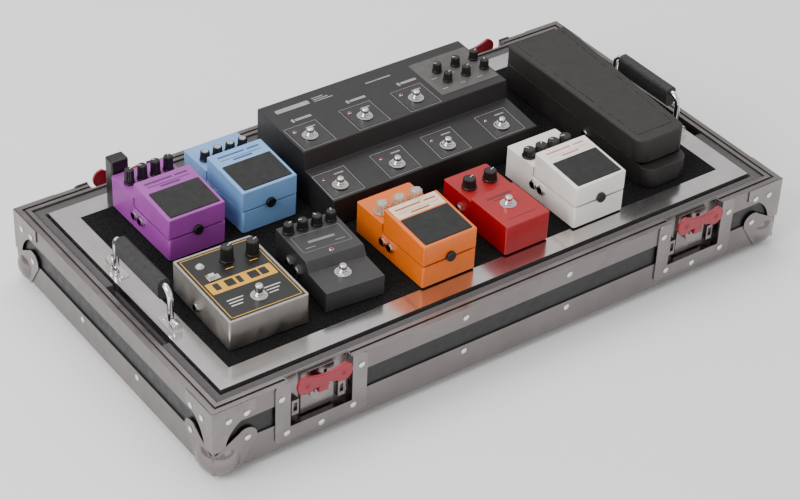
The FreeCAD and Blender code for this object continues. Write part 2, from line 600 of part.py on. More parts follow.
def compact_housing(stations, along):
    w, n = COMPACT_WIDTH, COMPACT_LENGTH
    low = box(0, 0, PLATE_TOP - 1.5, w, n, COMPACT_FRONT)
    high = box(0, TREADLE_LENGTH + 1.2, 10, w, n, COMPACT_REAR)
    body = low.fuse(high).removeSplitter()
    upright = [e for e in body.Edges
               if abs(e.Vertexes[0].Z - e.Vertexes[-1].Z) > 1e-6
               and min(abs(e.CenterOfMass.y), abs(e.CenterOfMass.y - n)) < 1e-6]
    body = body.makeFillet(2.5, upright)
    floor = PLATE_TOP - 2
    hollow = box(WALL, WALL, floor, w - WALL, n - WALL, COMPACT_FRONT - WALL)
    hollow = hollow.fuse(box(WALL, TREADLE_LENGTH + 1.2 + WALL, floor, w - WALL, n - WALL, COMPACT_REAR - WALL))
    body = body.cut([hollow, box(0.6, 0.6, floor, w - 0.6, n - 0.6, PLATE_TOP)])
    for side in (0, 1):
        ear_x = WALL + 2 + side * (w - 2 * WALL - 8)
        ear = box(ear_x, TREADLE_HINGE_Y - 3.6, COMPACT_FRONT - 1, ear_x + 4, TREADLE_HINGE_Y + 3.6,
                  TREADLE_HINGE_Z + 4)
        body = body.fuse(ear)
    pin = rod(2.0, (WALL + 1.2, TREADLE_HINGE_Y, TREADLE_HINGE_Z),
              (w - WALL - 1.2, TREADLE_HINGE_Y, TREADLE_HINGE_Z))
    screw_post = box(w / 2 - 4, 3.5, COMPACT_FRONT - 1, w / 2 + 4, 9, SCREW_Z + 4)
    body = body.fuse([pin, screw_post]).cut(rod(SCREW_SHANK, (w / 2, -1, SCREW_Z), (w / 2, 7, SCREW_Z)))
    holes = [spindle_hole(x, along, COMPACT_REAR) for x in stations]
    return body.cut(holes).removeSplitter()


def compact_treadle():
    """Hollow tread with a rubber pad inlay groove and two hinge lugs."""
    w = COMPACT_WIDTH
    side = [(0, 0, TREADLE_BOTTOM), (0, 0, TREADLE_FRONT), (0, TREADLE_LENGTH, TREADLE_BACK),
            (0, TREADLE_LENGTH, TREADLE_BOTTOM)]
    outer = prism(side, (w, 0, 0))
    edges = [e for e in outer.Edges if e.CenterOfMass.z > TREADLE_BOTTOM + 1]
    outer = outer.makeFillet(1.6, edges)
    t = 2.2
    inner = prism([(t, t, TREADLE_BOTTOM - 1), (t, t, TREADLE_FRONT - t),
                   (t, TREADLE_LENGTH - t, TREADLE_BACK - t), (t, TREADLE_LENGTH - t, TREADLE_BOTTOM - 1)],
                  (w - 2 * t, 0, 0))
    tread = outer.cut(inner)
    slope = (TREADLE_BACK - TREADLE_FRONT) / TREADLE_LENGTH
    seat_z = TREADLE_FRONT - PAD_SEAT
    seat = prism([(PAD_SIDE, PAD_FRONT, seat_z + PAD_FRONT * slope), (PAD_SIDE, PAD_FRONT, 90),
                  (PAD_SIDE, PAD_BACK, 90), (PAD_SIDE, PAD_BACK, seat_z + PAD_BACK * slope)],
                 (w - 2 * PAD_SIDE, 0, 0))
    tread = tread.cut(seat)
    for sgn in (0, 1):
        lug_x = WALL + 7 + sgn * (w - 2 * WALL - 18)
        lug = box(lug_x, TREADLE_HINGE_Y - 3.6, TREADLE_HINGE_Z - 3.4, lug_x + 4, TREADLE_HINGE_Y + 1.2,
                  TREADLE_BACK - t - 0.4)
        tread = tread.fuse(lug)
    bore = rod(2.0 + RUNNING, (1, TREADLE_HINGE_Y, TREADLE_HINGE_Z), (w - 1, TREADLE_HINGE_Y, TREADLE_HINGE_Z))
    screw_slot = box(w / 2 - 3, -1, TREADLE_BOTTOM - 1, w / 2 + 3, t + 1, SCREW_Z + 5.5)
    return tread.cut([bore, screw_slot]).removeSplitter()


def rubber_pad():
    slope = (TREADLE_BACK - TREADLE_FRONT) / TREADLE_LENGTH
    x = PAD_SIDE + 0.2
    y0 = PAD_FRONT + 0.2
    y1 = PAD_BACK - 0.2
    base = TREADLE_FRONT - PAD_SEAT
    return prism([(x, y0, base + y0 * slope), (x, y0, base + y0 * slope + 1.5),
                  (x, y1, base + y1 * slope + 1.5), (x, y1, base + y1 * slope)],
                 (COMPACT_WIDTH - 2 * x, 0, 0))


def thumb_screw():
    """Screw at the middle of the treadle's seam, held in a post on the body behind it."""
    x = COMPACT_WIDTH / 2
    front = -3.9
    head = rod(6.2, (x, front, SCREW_Z), (x, -0.6, SCREW_Z))
    head = head.makeFillet(0.8, [e for e in head.Edges if abs(e.CenterOfMass.y - front) < 1e-6])
    return head.fuse(rod(SCREW_SHANK, (x, -1, SCREW_Z), (x, 7, SCREW_Z))).removeSplitter()


def make_compact_pedals():
    for name, (x, y, radius, height, stations, along) in COMPACT_PEDALS.items():
        housing = compact_housing(stations, along)
        for jack_y in (74.0, 60.0):
            jack, hole = jack_left(jack_y, COMPACT_FRONT - 8, WALL)
            housing = housing.cut(hole)
            place_all("jack_and_switch_nuts", [jack], x, y)
        place_all("%s_housing" % name, [housing], x, y)
        place_all("%s_treadle" % name, [compact_treadle(), rubber_pad()], x, y)
        place_all("thumb_screws", [thumb_screw()], x, y)
        place_all("base_plates", under_plate(COMPACT_WIDTH, COMPACT_LENGTH), x, y)
        place_all("circuit_boards", [board_on_posts(17, 12, 66, 116)], x, y)
        knobs = [knob(s, along, COMPACT_REAR, radius, height) for s in stations]
        if name in SINGLE_KNOB_PEDALS:
            for k, shape in enumerate(knobs, 1):
                place_all("%s_knob_%d" % (name, k), [shape], x, y)
        elif name == "blue":
            place_all("blue_knobs", knobs, x, y)
        else:
            place_all("black_knobs", knobs, x, y)


# ---- The other pedals

def make_echo():
    w, n, h = ECHO_SIZE
    x, y, turn = ECHO_PLACE
    deck = h
    body = soft_box(0, 0, PLATE_TOP - 1.5, w, n, h, 3.0, 1.0)
    body = body.cut(box(WALL, WALL, 0, w - WALL, n - WALL, h - WALL - 0.6))
    body = body.cut(box(3, 3, h - 0.6, w - 3, n - 3, h + 5))
    knobs_at = [(53.0, 98.0), (83.0, 94.0)]
    switch_at = (51.0, 26.0)
    jack, hole = jack_left(69.0, 16.0, WALL)
    body = body.cut([hole, bushing_hole(*switch_at, deck)] + [spindle_hole(*k, deck) for k in knobs_at])
    place_all("echo_housing", [body], x, y, turn)
    place_all("jack_and_switch_nuts", [jack, switch_bushing(*switch_at, deck - 0.6)], x, y, turn)
    place_all("echo_footswitch", [plunger(*switch_at, deck - 0.6, 15.0)], x, y, turn)
    for k, at in enumerate(knobs_at, 1):
        place_all("echo_knob_%d" % k, [knob(*at, deck - 0.6, 8.5, 19.0)], x, y, turn)
    place_all("base_plates", under_plate(w, n, 2.6), x, y, turn)
    place_all("circuit_boards", [board_on_posts(17, 42, w - 8, n - 8)], x, y, turn)


def make_grey():
    w, n, h = GREY_SIZE
    x, y, turn = GREY_PLACE
    low = box(0, 0, PLATE_TOP - 1.5, w, n, GREY_FRONT_DECK)
    ramp = prism([(0, GREY_STEP - 6, GREY_FRONT_DECK - 5), (0, GREY_STEP - 6, GREY_FRONT_DECK),
                  (0, GREY_STEP, h - 1.5), (0, GREY_STEP + 2, h), (0, n, h), (0, n, GREY_FRONT_DECK - 5)],
                 (w, 0, 0))
    body = low.fuse(ramp).removeSplitter()
    hollow = box(WALL, WALL, 0, w - WALL, n - WALL, GREY_FRONT_DECK - WALL)
    hollow = hollow.fuse(box(WALL, GREY_STEP + WALL, 0, w - WALL, n - WALL, h - WALL))
    switch_at = (35.0, 26.0)
    knobs_at = [(9.5 + 18.0 * k, n - 12.0) for k in range(4)]
    body = body.cut([hollow, bushing_hole(*switch_at, GREY_FRONT_DECK)])
    body = body.cut([spindle_hole(*k, h) for k in knobs_at])
    for jack_y in (64.0, 84.0):
        jack, hole = jack_left(jack_y, 16.0, WALL)
        body = body.cut(hole)
        place_all("jack_and_switch_nuts", [jack], x, y, turn)
    place_all("grey_housing", [body], x, y, turn)
    place_all("jack_and_switch_nuts", [switch_bushing(*switch_at, GREY_FRONT_DECK)], x, y, turn)
    place_all("grey_footswitch", [plunger(*switch_at, GREY_FRONT_DECK)], x, y, turn)
    place_all("black_knobs", [knob(*k, h, 7.0, 12.0) for k in knobs_at], x, y, turn)
    place_all("base_plates", under_plate(w, n, 2.6), x, y, turn)
    place_all("circuit_boards", [board_on_posts(17, 42, w - 6, n - 8)], x, y, turn)


def make_red():
    w, n, h = RED_SIZE
    x, y, turn = RED_PLACE
    low = soft_box(0, 0, PLATE_TOP - 1.5, w, n, RED_REAR_DECK, 3.0)
    front = soft_box(0, 0, 10, w, RED_STEP, h, 3.0, 1.2)
    body = low.fuse(front).removeSplitter()
    hollow = box(WALL, WALL, 0, w - WALL, n - WALL, RED_REAR_DECK - WALL)
    hollow = hollow.fuse(box(WALL, WALL, 0, w - WALL, RED_STEP - WALL, h - WALL))
    switch_at = (30.0, 37.0)
    knobs_at = [(16.0, 92.0), (46.0, 92.0)]
    jack, hole = jack_left(86.0, 16.0, WALL)
    body = body.cut([hollow, hole, bushing_hole(*switch_at, h)])
    body = body.cut([spindle_hole(*k, RED_REAR_DECK) for k in knobs_at])
    place_all("red_housing", [body], x, y, turn)
    place_all("jack_and_switch_nuts", [jack, switch_bushing(*switch_at, h)], x, y, turn)
    place_all("red_footswitch", [plunger(*switch_at, h)], x, y, turn)
    for k, at in enumerate(knobs_at, 1):
        place_all("red_knob_%d" % k, [knob(*at, RED_REAR_DECK, 9.0, 13.0)], x, y, turn)
    place_all("base_plates", under_plate(w, n, 2.6), x, y, turn)
    place_all("circuit_boards", [board_on_posts(17, 52, w - 6, n - 8)], x, y, turn)


def multi_deck(along):
    """Height of the multi-effect unit's top at a distance from its front."""
    if along < MULTI_STEP:
        return MULTI_FRONT + (MULTI_LOW_BACK - MULTI_FRONT) * along / MULTI_STEP
    rest = (along - MULTI_STEP) / (MULTI_SIZE[1] - MULTI_STEP)
    return MULTI_HIGH_FRONT + (MULTI_BACK - MULTI_HIGH_FRONT) * rest


def make_multi():
    x, y = MULTI_PLACE
    w, n = MULTI_SIZE
    foot = PLATE_TOP - 1.5
    outer = prism([(0, 0, foot), (0, 0, MULTI_FRONT), (0, MULTI_STEP, MULTI_LOW_BACK),
                   (0, MULTI_STEP + 4, MULTI_HIGH_FRONT), (0, n, MULTI_BACK), (0, n, foot)], (w, 0, 0))
    outer = outer.makeFillet(1.5, [e for e in outer.Edges if e.CenterOfMass.z > MULTI_FRONT - 8])
    inner = prism([(WALL, WALL, 0), (WALL, WALL, MULTI_FRONT - WALL),
                   (WALL, MULTI_STEP + WALL, MULTI_LOW_BACK - WALL),
                   (WALL, MULTI_STEP + 4 + WALL, MULTI_HIGH_FRONT - WALL),
                   (WALL, n - WALL, MULTI_BACK - WALL), (WALL, n - WALL, 0)], (w - 2 * WALL, 0, 0))
    switches = [(sx, MULTI_LOW_Y) for sx in MULTI_LOW_SWITCHES]
    switches += [(sx, MULTI_HIGH_Y) for sx in MULTI_HIGH_SWITCHES]
    body = outer.cut(inner)
    body = body.cut([bushing_hole(sx, sy, multi_deck(sy)) for sx, sy in switches])
    seats = [(sx, sy, multi_deck(sy) + 0.5) for sx, sy in switches]
    body = body.cut([rod(10.0, (sx, sy, seat), (sx, sy, seat + 6)) for sx, sy, seat in seats])
    body = body.cut([spindle_hole(kx, ky, multi_deck(ky)) for kx, ky in MULTI_KNOBS])
    place_all("multi_housing", [body], x, y)
    for k, (sx, sy, deck) in enumerate(seats, 1):
        place_all("jack_and_switch_nuts", [switch_bushing(sx, sy, deck)], x, y)
        place_all("multi_footswitch_%d" % k, [plunger(sx, sy, deck)], x, y)
    for kx, ky in MULTI_KNOBS:
        place_all("black_knobs", [knob(kx, ky, multi_deck(ky) + 0.5, 6.2, 12.0)], x, y)
    place_all("base_plates", under_plate(w, n, 2.6), x, y)
    place_all("circuit_boards", [board_on_posts(12, 12, w - 12, n - 12)], x, y)


# ---- Wah pedal: a tapered base with an open well, and a rocking treadle over it

def wah_side(along, inset=0.0):
    """Left and right edge of the base at a distance y, moved in by inset."""
    t = (along - WAH_Y[0]) / (WAH_Y[1] - WAH_Y[0])
    left = WAH_FRONT[0] + (WAH_BACK[0] - WAH_FRONT[0]) * t
    right = WAH_FRONT[1] + (WAH_BACK[1] - WAH_FRONT[1]) * t
    return left + inset, right - inset


def wah_block(y0, y1, inset, z_bottom, z_front, z_back):
    """A tapered block whose top slopes from z_front at y0 to z_back at y1."""
    l0, r0 = wah_side(y0, inset)
    l1, r1 = wah_side(y1, inset)
    plan = prism([(l0, y0, z_bottom), (r0, y0, z_bottom), (r1, y1, z_bottom), (l1, y1, z_bottom)],
                 (0, 0, 200))
    side = prism([(600, y0, z_bottom), (600, y0, z_front), (600, y1, z_back), (600, y1, z_bottom)],
                 (200, 0, 0))
    return plan.common(side)


def round_uprights(shape, radius, y_limit):
    """Round the upright edges in front of y_limit."""
    edges = [e for e in shape.Edges if len(e.Vertexes) == 2 and e.CenterOfMass.y < y_limit
             and abs(e.Vertexes[0].X - e.Vertexes[1].X) < 1e-6 and abs(e.Vertexes[0].Y - e.Vertexes[1].Y) < 1e-6]
    return shape.makeFillet(radius, edges)


def wah_base():
    """Hollow base, open under the treadle, with two ears and the pin that the treadle rocks on."""
    y0, y1 = WAH_Y
    foot = PLATE_TOP - 1.5
    inner = WAH_SET_IN + WAH_WALL
    front_limit = y0 + 20
    deck_end = y0 + WAH_TREAD_FROM_FRONT + 2
    base = wah_block(y0, y1, WAH_SET_IN, foot, WAH_BASE_FRONT, WAH_BASE_BACK)
    base = round_uprights(base, WAH_ROUND, front_limit)
    well = wah_block(deck_end, y1 - WAH_WALL, inner, foot + 3, 90, 90)
    under_deck = wah_block(y0 + WAH_WALL, deck_end + 5, inner, foot + 3,
                           WAH_BASE_FRONT - WAH_WALL, WAH_BASE_FRONT - WAH_WALL)
    under_deck = round_uprights(under_deck, WAH_ROUND - WAH_WALL, front_limit)
    base = base.cut([well, under_deck])
    left, right = wah_side(WAH_PIVOT_Y, inner)
    for ear_x in (left - 0.5, right - 4.5):
        ear = box(ear_x, WAH_PIVOT_Y - 8, foot + 1, ear_x + 5, WAH_PIVOT_Y + 8, WAH_PIVOT_Z + 6)
        base = base.fuse(ear)
    return base.fuse(rod(3.0, (left + 2, WAH_PIVOT_Y, WAH_PIVOT_Z), (right - 2, WAH_PIVOT_Y, WAH_PIVOT_Z)))


def wah_grooves(front, back):
    """Cutters for the groove that runs round three sides of the rocker's top."""
    slope = (WAH_TOP_BACK - WAH_TOP_FRONT) / (back - front)
    start, end = front + 16, back - 8
    z0 = WAH_TOP_FRONT + 16 * slope - 0.9
    z1 = WAH_TOP_BACK - 8 * slope - 0.9
    cutters = []
    for in_front, behind in ((8.0, 8.0), (61.5, 78.5)):
        x0 = wah_side(front)[0] + in_front
        x1 = wah_side(back)[0] + behind
        outline = [(x0, start, z0), (x0 + 1.2, start, z0), (x1 + 1.2, end, z1), (x1, end, z1)]
        cutters.append(prism(outline, (0, 0, 20)))
    left = wah_side(front)[0] + 8
    cutters.append(box(left, start, z0, left + 54.7, start + 1.2, 90))
    return cutters


def wah_tread():
    """Hollow treadle that reaches round the base, with two lugs that are bored for the pin."""
    wall = 2.4
    t0 = WAH_Y[0] + WAH_TREAD_FROM_FRONT
    t1 = WAH_Y[1] - 1.5
    skirt0 = WAH_BASE_FRONT + WAH_SKIRT_GAP
    skirt1 = WAH_BASE_BACK + WAH_SKIRT_GAP
    tread = wah_block(t0, t1, 0.0, skirt0, WAH_TOP_FRONT, WAH_TOP_BACK)
    tread = round_uprights(tread, WAH_ROUND, t0 + 20)
    crown = [e for e in tread.Edges if e.CenterOfMass.z > skirt1 + 8 and e.Length > 3
             and abs(e.Vertexes[0].Z - e.Vertexes[-1].Z) < 6]
    tread = tread.makeFillet(3.0, crown)
    under = prism([(600, t0 - 9, 0), (600, t0 - 9, skirt0 - 0.3), (600, t1 + 9, skirt1 + 0.3),
                   (600, t1 + 9, 0)], (200, 0, 0))
    hollow = wah_block(t0 + wall, t1 - wall, wall, 0, WAH_TOP_FRONT - 3, WAH_TOP_BACK - 3)
    hollow = round_uprights(hollow, WAH_ROUND - wall, t0 + 20)
    tail = box(600, t1 - wall - 0.3, 0, 800, t1 + 5, WAH_TOP_BACK - 4)
    tread = tread.cut([under, hollow, tail])
    left, right = wah_side(WAH_PIVOT_Y, WAH_SET_IN + WAH_WALL)
    for lug_x in (left + 6, right - 10):
        lug = box(lug_x, WAH_PIVOT_Y - 7, WAH_PIVOT_Z - 7, lug_x + 4, WAH_PIVOT_Y + 7, WAH_TOP_FRONT + 1)
        tread = tread.fuse(lug)
    bore = rod(3.0 + RUNNING, (left - 1, WAH_PIVOT_Y, WAH_PIVOT_Z), (right + 1, WAH_PIVOT_Y, WAH_PIVOT_Z))
    return tread.cut([bore] + wah_grooves(t0, t1)).removeSplitter()


def make_wah():
    base = wah_base()
    jack, hole = jack_left(0, 0, 4)
    spot = Vector(wah_side(180.0, WAH_SET_IN)[0], 180.0, 18.0)
    for piece in (jack, hole):
        piece.translate(spot)
    base = base.cut(hole).removeSplitter()
    add("wah_housing", put(base, 0, 0, DECK))
    add("wah_treadle", put(wah_tread(), 0, 0, DECK))
    add("jack_and_switch_nuts", put(jack, 0, 0, DECK))
    strips = [box(646, 80, 0, 664, 320, STRIP), box(680, 80, 0, 698, 320, STRIP)]
    add("base_plates", *[put(s, 0, 0, DECK) for s in strips])


def make_adapter():
    x, y, w, n, h = ADAPTER
    add("power_adapter", soft_box(x, y, CASE_HEIGHT, x + w, y + n, CASE_HEIGHT + h, 2.5, 2.0))


def write_nodes():
    os.makedirs("parts", exist_ok=True)
    for name, shapes in sorted(nodes.items()):
        moved = [move_to_frame(s) for s in shapes]
        solids = [solid for s in moved for solid in s.Solids]
        whole = solids[0] if len(solids) == 1 else Part.makeCompound(solids)
        bad = [s for s in solids if not s.isValid() or s.Volume <= 0]
        print("%-26s %3d solids %10.0f mm3%s" % (name, len(solids), whole.Volume, "  INVALID" if bad else ""))
        whole.exportStep("parts/%s.step" % name)


make_case()
make_corners()
make_latches()
make_tray()
make_handles()
make_compact_pedals()
make_echo()
make_grey()
make_red()
make_multi()
make_wah()
make_adapter()
write_nodes()
print("nodes", len(nodes))
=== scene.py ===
import math

import bmesh
import bpy
from mathutils import Matrix, Vector


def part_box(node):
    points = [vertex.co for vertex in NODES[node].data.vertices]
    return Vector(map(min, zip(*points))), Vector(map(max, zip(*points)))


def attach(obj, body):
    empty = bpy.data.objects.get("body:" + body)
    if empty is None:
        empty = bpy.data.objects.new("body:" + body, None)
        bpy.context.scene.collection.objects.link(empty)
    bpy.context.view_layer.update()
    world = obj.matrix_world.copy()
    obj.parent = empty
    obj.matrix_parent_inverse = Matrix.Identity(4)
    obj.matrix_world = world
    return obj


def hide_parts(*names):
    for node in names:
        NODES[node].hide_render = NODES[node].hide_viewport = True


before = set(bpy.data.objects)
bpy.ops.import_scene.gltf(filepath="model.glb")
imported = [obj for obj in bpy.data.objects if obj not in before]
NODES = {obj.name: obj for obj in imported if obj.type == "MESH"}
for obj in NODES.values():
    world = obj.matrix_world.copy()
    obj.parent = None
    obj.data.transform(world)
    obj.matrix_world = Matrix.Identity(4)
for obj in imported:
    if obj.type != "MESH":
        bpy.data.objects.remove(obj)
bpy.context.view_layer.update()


MM = 0.001
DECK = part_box("loop_carpet")[1][2]          # the carpet's top, which the pedals stand on
TURNED = {"echo": -2.0, "grey": -5.0}       # degrees that these pedals stand askew

# The compact pedals' treadle top, from the pedal's front edge, above the carpet
TREAD_FRONT = 56.5 * MM
TREAD_BACK = 62.5 * MM
TREAD_LENGTH = 77.5 * MM

# Tops of the other pedals above the carpet, and their sizes across and along
ECHO_SIZE = (98.5 * MM, 125.0 * MM)
ECHO_PLATE = 39.4 * MM
GREY_SIZE = (73.0 * MM, 117.0 * MM)
GREY_TOP = 38.5 * MM
RED_TOP = 40.0 * MM
RED_REAR_TOP = 36.0 * MM

# The multi-effect unit's step, the heights of its two decks at front and back, and its switches
MULTI_STEP = 59.0 * MM
MULTI_HEIGHTS = (37.0 * MM, 44.0 * MM, 68.0 * MM, 73.0 * MM)
LOW_SWITCHES = (22.0, 102.0, 175.0, 255.0)
HIGH_SWITCHES = (24.0, 101.0, 175.0)

SPINDLE = 8.3 * MM                          # a CAD knob's spindle below its skirt


# ---- Materials: every one is built from nodes, in the object's own coordinates

class Builder:
    """A material with its principled shader and small helpers for wiring nodes."""

    def __init__(self, name):
        self.material = bpy.data.materials.new(name)
        self.material.use_nodes = True
        self.tree = self.material.node_tree
        self.shader = self.tree.nodes["Principled BSDF"]
        self.coord = self.node("ShaderNodeTexCoord")

    def node(self, kind, **settings):
        made = self.tree.nodes.new(kind)
        for key, value in settings.items():
            setattr(made, key, value)
        return made

    def link(self, source, target):
        self.tree.links.new(source, target)

    def set(self, **values):
        for key, value in values.items():
            self.shader.inputs[key.replace("_", " ")].default_value = value

    def scaled(self, scale):
        mapping = self.node("ShaderNodeMapping")
        mapping.inputs["Scale"].default_value = scale
        self.link(self.coord.outputs["Object"], mapping.inputs["Vector"])
        return mapping.outputs["Vector"]

    def noise(self, scale, stretch=(1, 1, 1), detail=4.0, rough=0.55):
        noise = self.node("ShaderNodeTexNoise")
        noise.inputs["Scale"].default_value = scale
        noise.inputs["Detail"].default_value = detail
        noise.inputs["Roughness"].default_value = rough
        self.link(self.scaled(stretch), noise.inputs["Vector"])
        return noise.outputs["Fac"]

    def voronoi(self, scale, feature="F1"):
        cells = self.node("ShaderNodeTexVoronoi", feature=feature)
        cells.inputs["Scale"].default_value = scale
        self.link(self.coord.outputs["Object"], cells.inputs["Vector"])
        return cells.outputs["Distance"]

    def ramp(self, source, low, high, start=0.3, end=0.7):
        ramp = self.node("ShaderNodeMapRange")
        ramp.inputs["From Min"].default_value = start
        ramp.inputs["From Max"].default_value = end
        ramp.inputs["To Min"].default_value = low
        ramp.inputs["To Max"].default_value = high
        self.link(source, ramp.inputs["Value"])
        return ramp.outputs["Result"]

    def blend(self, factor, first, second):
        mix = self.node("ShaderNodeMix", data_type="RGBA")
        self.link(factor, mix.inputs["Factor"])
        for socket, value in ((mix.inputs[6], first), (mix.inputs[7], second)):
            if isinstance(value, (tuple, list)):
                socket.default_value = (*value, 1.0)
            else:
                self.link(value, socket)
        return mix.outputs[2]

    def bump(self, height, strength, distance, below=None):
        bump = self.node("ShaderNodeBump")
        bump.inputs["Strength"].default_value = strength
        bump.inputs["Distance"].default_value = distance
        self.link(height, bump.inputs["Height"])
        if below:
            self.link(below, bump.inputs["Normal"])
        return bump.outputs["Normal"]

    def axis(self, name):
        split = self.node("ShaderNodeSeparateXYZ")
        self.link(self.coord.outputs["Object"], split.inputs["Vector"])
        return split.outputs[name]

    def math(self, operation, first, second=0.0):
        node = self.node("ShaderNodeMath", operation=operation)
        for socket, value in zip(node.inputs, (first, second)):
            if isinstance(value, (int, float)):
                socket.default_value = value
            else:
                self.link(value, socket)
        return node.outputs["Value"]

    def edges(self, width=0.0012):
        """1 on worn edges and 0 elsewhere, from how the surface turns."""
        bevel = self.node("ShaderNodeBevel", samples=4)
        bevel.inputs["Radius"].default_value = width
        geometry = self.node("ShaderNodeNewGeometry")
        dot = self.node("ShaderNodeVectorMath", operation="DOT_PRODUCT")
        self.link(bevel.outputs["Normal"], dot.inputs[0])
        self.link(geometry.outputs["Normal"], dot.inputs[1])
        return self.ramp(dot.outputs["Value"], 1.0, 0.0, 0.86, 0.985)


def tint(colour, amount):
    return tuple(min(1.0, max(0.0, c * amount)) for c in colour)


def paint(name, colour, rough=0.42, coat=0.25, wear=0.35, grain=900.0, depth=0.00006, worn=None):
    """Sprayed paint on a casting: faint cloudiness, orange peel and edges rubbed lighter."""
    m = Builder(name)
    cloudy = m.blend(m.ramp(m.noise(38.0), 0.0, 1.0), tint(colour, 0.92), tint(colour, 1.06))
    rubbed = worn or tuple(c + (1 - c) * 0.22 for c in colour)
    edge = m.math("MULTIPLY", m.edges(), m.ramp(m.noise(160.0), 0.0, wear, 0.35, 0.65))
    m.link(m.blend(edge, cloudy, rubbed), m.shader.inputs["Base Color"])
    m.link(m.ramp(m.noise(70.0), rough - 0.05, rough + 0.07), m.shader.inputs["Roughness"])
    m.link(m.bump(m.noise(grain, detail=2.0), 0.35, depth), m.shader.inputs["Normal"])
    m.set(Coat_Weight=coat, Coat_Roughness=0.18)
    return m.material


def metal(name, colour, rough, stretch=(1, 1, 1), grain=500.0, depth=0.00004, mottling=0.12, strength=0.3):
    """Bare or plated metal with a drawn or cast grain and smudged roughness."""
    m = Builder(name)
    light = m.blend(m.ramp(m.noise(26.0, detail=5.0), 0.0, 1.0),
                    tint(colour, 1 - mottling), tint(colour, 1 + mottling * 0.6))
    m.link(light, m.shader.inputs["Base Color"])
    m.link(m.ramp(m.noise(55.0, detail=6.0), rough * 0.8, rough * 1.25), m.shader.inputs["Roughness"])
    m.link(m.bump(m.noise(grain, stretch, 3.0), strength, depth), m.shader.inputs["Normal"])
    m.set(Metallic=1.0)
    return m.material


def plastic(name, colour, rough=0.45, grain=1200.0, depth=0.00004):
    m = Builder(name)
    body = m.blend(m.ramp(m.noise(60.0), 0.0, 1.0), tint(colour, 0.85), tint(colour, 1.2))
    m.link(body, m.shader.inputs["Base Color"])
    m.link(m.ramp(m.noise(110.0), rough - 0.06, rough + 0.08), m.shader.inputs["Roughness"])
    m.link(m.bump(m.noise(grain, detail=2.0), 0.3, depth), m.shader.inputs["Normal"])
    return m.material


def laminate():
    """Black phenolic laminate with a fine pebbled face and faint scuffs."""
    m = Builder("black_laminate")
    scuffs = m.ramp(m.noise(90.0, (0.25, 1, 1), 6.0, 0.7), 0.0, 1.0, 0.55, 0.78)
    m.link(m.blend(scuffs, (0.005, 0.0045, 0.0045), (0.018, 0.016, 0.016)), m.shader.inputs["Base Color"])
    m.link(m.ramp(m.noise(120.0), 0.32, 0.5), m.shader.inputs["Roughness"])
    m.link(m.bump(m.voronoi(1400.0), 0.35, 0.00008), m.shader.inputs["Normal"])
    return m.material


def foam():
    """Dark open-cell foam."""
    m = Builder("foam")
    shade = m.ramp(m.noise(900.0, detail=3.0), 0.0, 1.0, 0.35, 0.65)
    m.link(m.blend(shade, (0.030, 0.025, 0.026), (0.075, 0.064, 0.066)), m.shader.inputs["Base Color"])
    pores = m.bump(m.voronoi(1500.0), 0.8, 0.0004)
    m.link(m.bump(m.noise(120.0), 0.4, 0.0008, pores), m.shader.inputs["Normal"])
    m.set(Roughness=0.95, Sheen_Weight=0.25, Sheen_Roughness=0.6)
    return m.material


def carpet():
    """Low black loop carpet: round loops in a loose grid, the colour darkened by painted shade in the gaps
    between the loops.
    """
    m = Builder("loop_carpet")
    loops = m.voronoi(620.0)
    tips = m.ramp(loops, 1.0, 0.0, 0.1, 0.6)
    # painted shade: the colour darkens from each loop's tip into the gaps between the loops
    gap_shaded_tone = m.blend(tips, (0.004, 0.004, 0.004), (0.022, 0.021, 0.022))
    patches = m.blend(m.ramp(m.noise(22.0), 0.0, 1.0), (0.75, 0.75, 0.75), (1.3, 1.28, 1.3))
    mixed = m.node("ShaderNodeMix", data_type="RGBA", blend_type="MULTIPLY")
    mixed.inputs["Factor"].default_value = 1.0
    m.link(gap_shaded_tone, mixed.inputs[6])
    m.link(patches, mixed.inputs[7])
    m.link(mixed.outputs[2], m.shader.inputs["Base Color"])
    m.link(m.bump(tips, 1.0, 0.0009), m.shader.inputs["Normal"])
    m.set(Roughness=0.96, Specular_IOR_Level=0.12, Sheen_Weight=0.02, Sheen_Roughness=0.5)
    return m.material


def border_metal():
    """Bright rolled aluminium, brushed along each of the four border strips."""
    m = Builder("border_metal")
    low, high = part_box("tray_border")
    across = m.math("SUBTRACT", m.math("ABSOLUTE", m.axis("X")), float(high[0] - low[0]) / 2)
    along = m.math("SUBTRACT", m.math("ABSOLUTE", m.axis("Y")), float(high[1] - low[1]) / 2)
    ends = m.math("GREATER_THAN", across, along)
    strokes = m.node("ShaderNodeMix", data_type="FLOAT")
    m.link(ends, strokes.inputs["Factor"])
    m.link(m.noise(700.0, (0.02, 1, 1), 3.0), strokes.inputs[2])
    m.link(m.noise(700.0, (1, 0.02, 1), 3.0), strokes.inputs[3])
    m.link(m.blend(m.ramp(m.noise(30.0), 0.0, 1.0), (0.60, 0.575, 0.57), (0.70, 0.675, 0.67)),
           m.shader.inputs["Base Color"])
    m.link(m.ramp(strokes.outputs[0], 0.15, 0.22), m.shader.inputs["Roughness"])
    m.link(m.bump(strokes.outputs[0], 0.10, 0.00003), m.shader.inputs["Normal"])
    m.set(Metallic=1.0)
    return m.material


